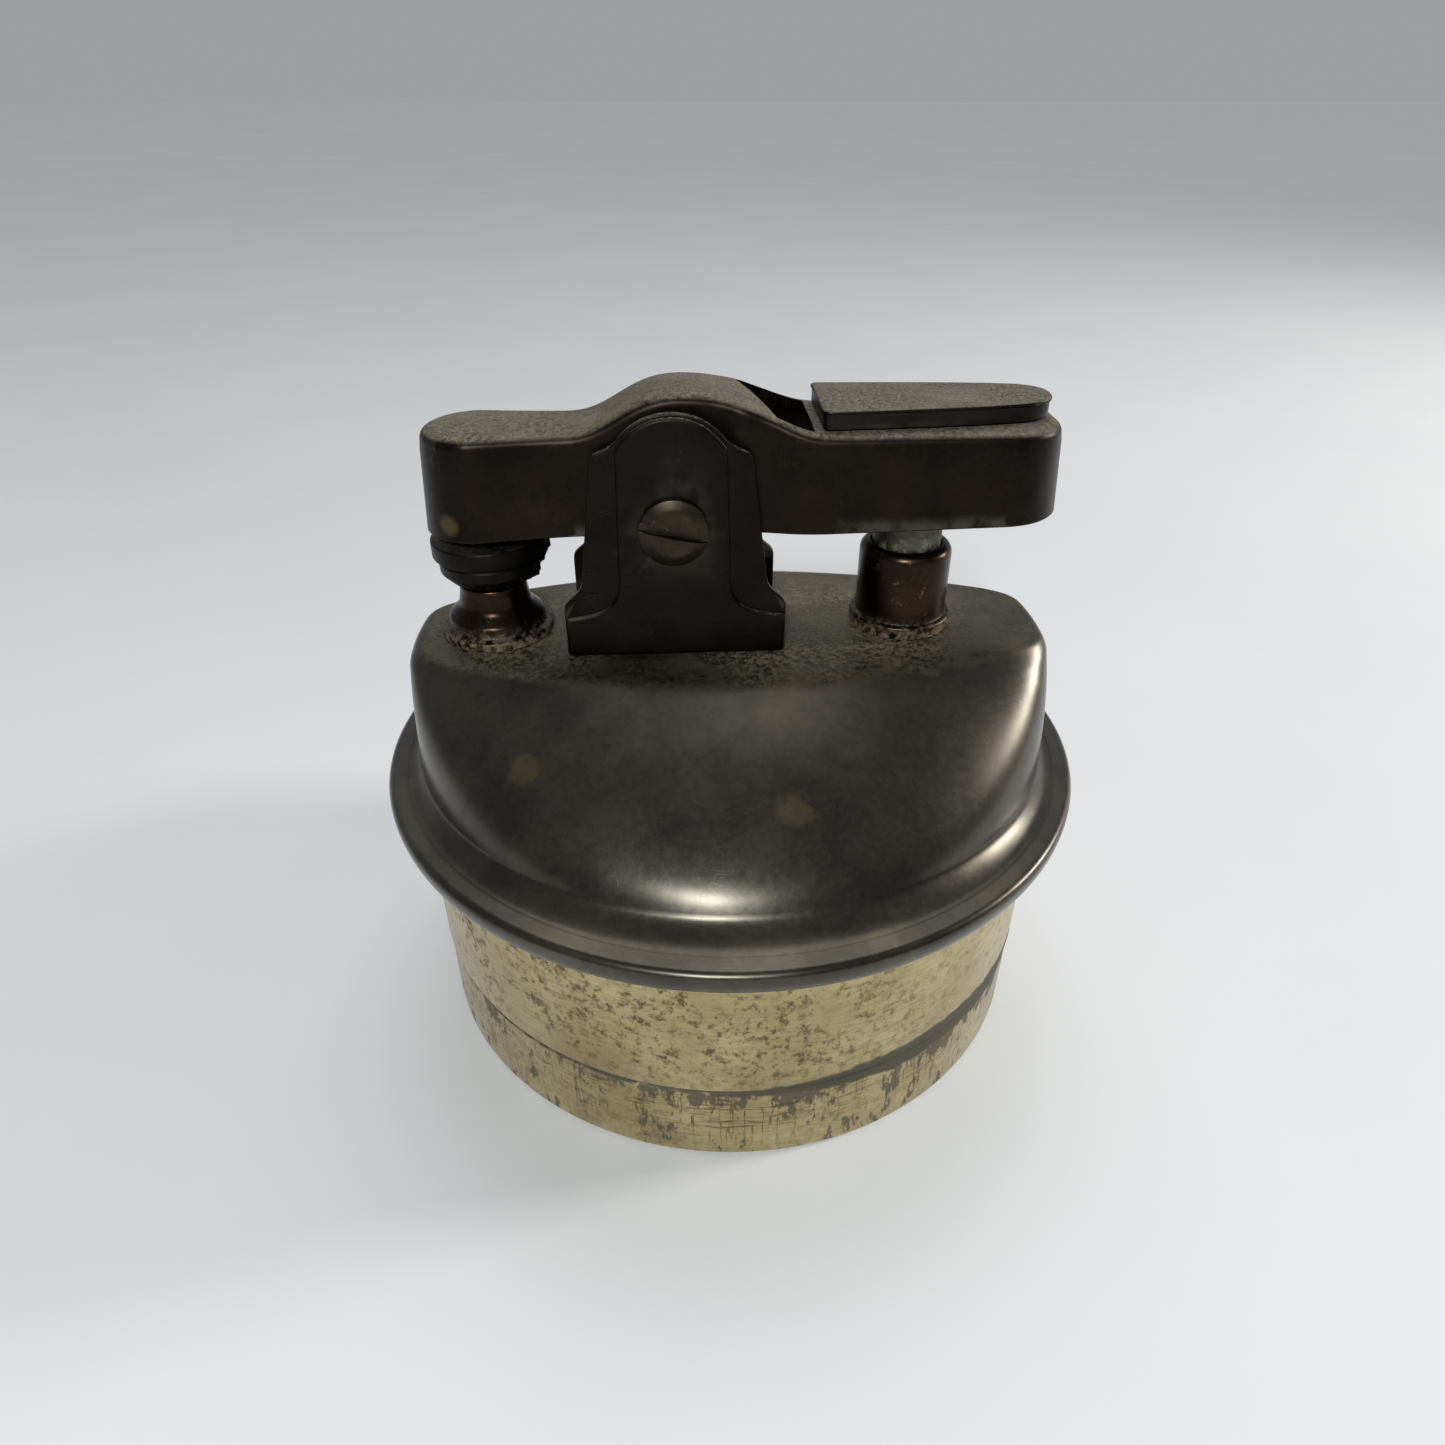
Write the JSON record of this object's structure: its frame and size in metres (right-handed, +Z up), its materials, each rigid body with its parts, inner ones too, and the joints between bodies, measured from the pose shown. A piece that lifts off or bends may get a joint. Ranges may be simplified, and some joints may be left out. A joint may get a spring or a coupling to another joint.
{
  "type": "table lighter insert",
  "caption": "Press-action table lighter insert: round brass fuel cup, bronze dome, wick post with snuffer, walking-beam arm with thumb pad and a sprung plunger post.",
  "frame": {"origin": "middle of the fuel cup's underside, on the plane it stands on", "axes": "+Z up, +X along the arm towards the thumb pad, -Y towards the pivot screw's head"},
  "size_m": [0.056, 0.056, 0.0508],
  "materials": {
    "polished_brass": "polished, speckled with tarnish",
    "inner_brass": "dull, dusty",
    "aged_bronze": "satin bronze patina",
    "dark_bronze": "dark satin patina, worn edges",
    "arm_bronze": "dark satin patina, dusty on top",
    "sooty_bronze": "dark, sooty",
    "copper_bronze": "turned, browned copper colour",
    "steel": "dull",
    "hard_steel": "hardened, cut teeth",
    "spring_steel": "drawn wire",
    "dusty_steel": "grey-green, dusty",
    "flint_stone": "matt",
    "cotton_wadding": "loose cotton",
    "charred_wick": "woven, charred",
    "fibre": "pressed fibre"
  },
  "bodies": {
    "base": {"tank_cup": "polished_brass", "tank_wadding": "cotton_wadding", "filler_bush": "polished_brass", "dome_shell": "aged_bronze", "pivot_bracket": "dark_bronze", "bracket_screw_left": "steel", "bracket_screw_right": "steel", "pivot_screw": "aged_bronze", "axle_bush": "inner_brass", "pivot_washer_front": "steel", "pivot_washer_rear": "steel", "flint_tube": "inner_brass", "flint_tube_nut": "inner_brass", "flint_spring": "spring_steel", "wick_tube": "copper_bronze", "wick": "charred_wick", "plunger_collar": "copper_bronze", "return_spring": "spring_steel"},
    "arm": {"rocker_arm": "arm_bronze", "thumb_pad": "arm_bronze", "pawl_pin": "steel", "pawl_spring": "spring_steel", "snuffer_holder": "inner_brass", "snuffer_spring": "spring_steel"},
    "pawl": {"pawl": "hard_steel"},
    "snuffer": {"snuffer_cap": "sooty_bronze"},
    "plunger": {"plunger_rod": "dusty_steel"},
    "wheel": {"spark_wheel": "hard_steel", "ratchet_wheel": "hard_steel"},
    "flint_feed": {"flint": "flint_stone", "flint_follower": "inner_brass"},
    "filler_plug": {"filler_screw": "polished_brass", "filler_washer": "fibre"},
    "flint_plug": {"flint_screw": "polished_brass"}
  },
  "joints": [
    {"name": "arm_press", "type": "hinge", "parent": "base", "child": "arm", "pos_m": [-0.0043, 0, 0.042], "axis": [0, 1, 0], "range_deg": [0, 16], "stiffness_Nm_per_rad": 0.3, "springref_deg": -11.46},
    {"name": "plunger_slide", "type": "slide", "parent": "base", "child": "plunger", "axis": [0, 0, -1], "range_m": [0, 0.005], "deforming": ["return_spring"]},
    {"name": "wheel_turn", "type": "hinge", "parent": "base", "child": "wheel", "pos_m": [-0.0043, 0, 0.042], "axis": [0, 1, 0], "range_deg": [0, 16]},
    {"name": "pawl_click", "type": "hinge", "parent": "arm", "child": "pawl", "pos_m": [0.0039, 0, 0.0453], "axis": [0, 1, 0], "range_deg": [0, 6], "stiffness_Nm_per_rad": 0.002, "springref_deg": -17.19},
    {"name": "snuffer_seat", "type": "slide", "parent": "arm", "child": "snuffer", "axis": [0, 0, 1], "range_m": [0, 0.0005], "stiffness_N_per_m": 200, "springref_m": -0.003, "deforming": ["snuffer_spring"]},
    {"name": "flint_advance", "type": "slide", "parent": "base", "child": "flint_feed", "axis": [0, 0, 1], "range_m": [-0.001, 0], "stiffness_N_per_m": 100, "springref_m": 0.008, "deforming": ["flint_spring"]},
    {"name": "filler_screw_out", "type": "slide", "parent": "base", "child": "filler_plug", "axis": [0, 0, -1], "range_m": [0, 0.005]},
    {"name": "flint_screw_out", "type": "slide", "parent": "base", "child": "flint_plug", "axis": [0, 0, -1], "range_m": [0, 0.006]}
  ],
  "couplings": [
    {"joint": "plunger_slide", "follows": "arm_press", "m_per_rad": 0.0178},
    {"joint": "wheel_turn", "follows": "arm_press", "ratio": 1}
  ]
}
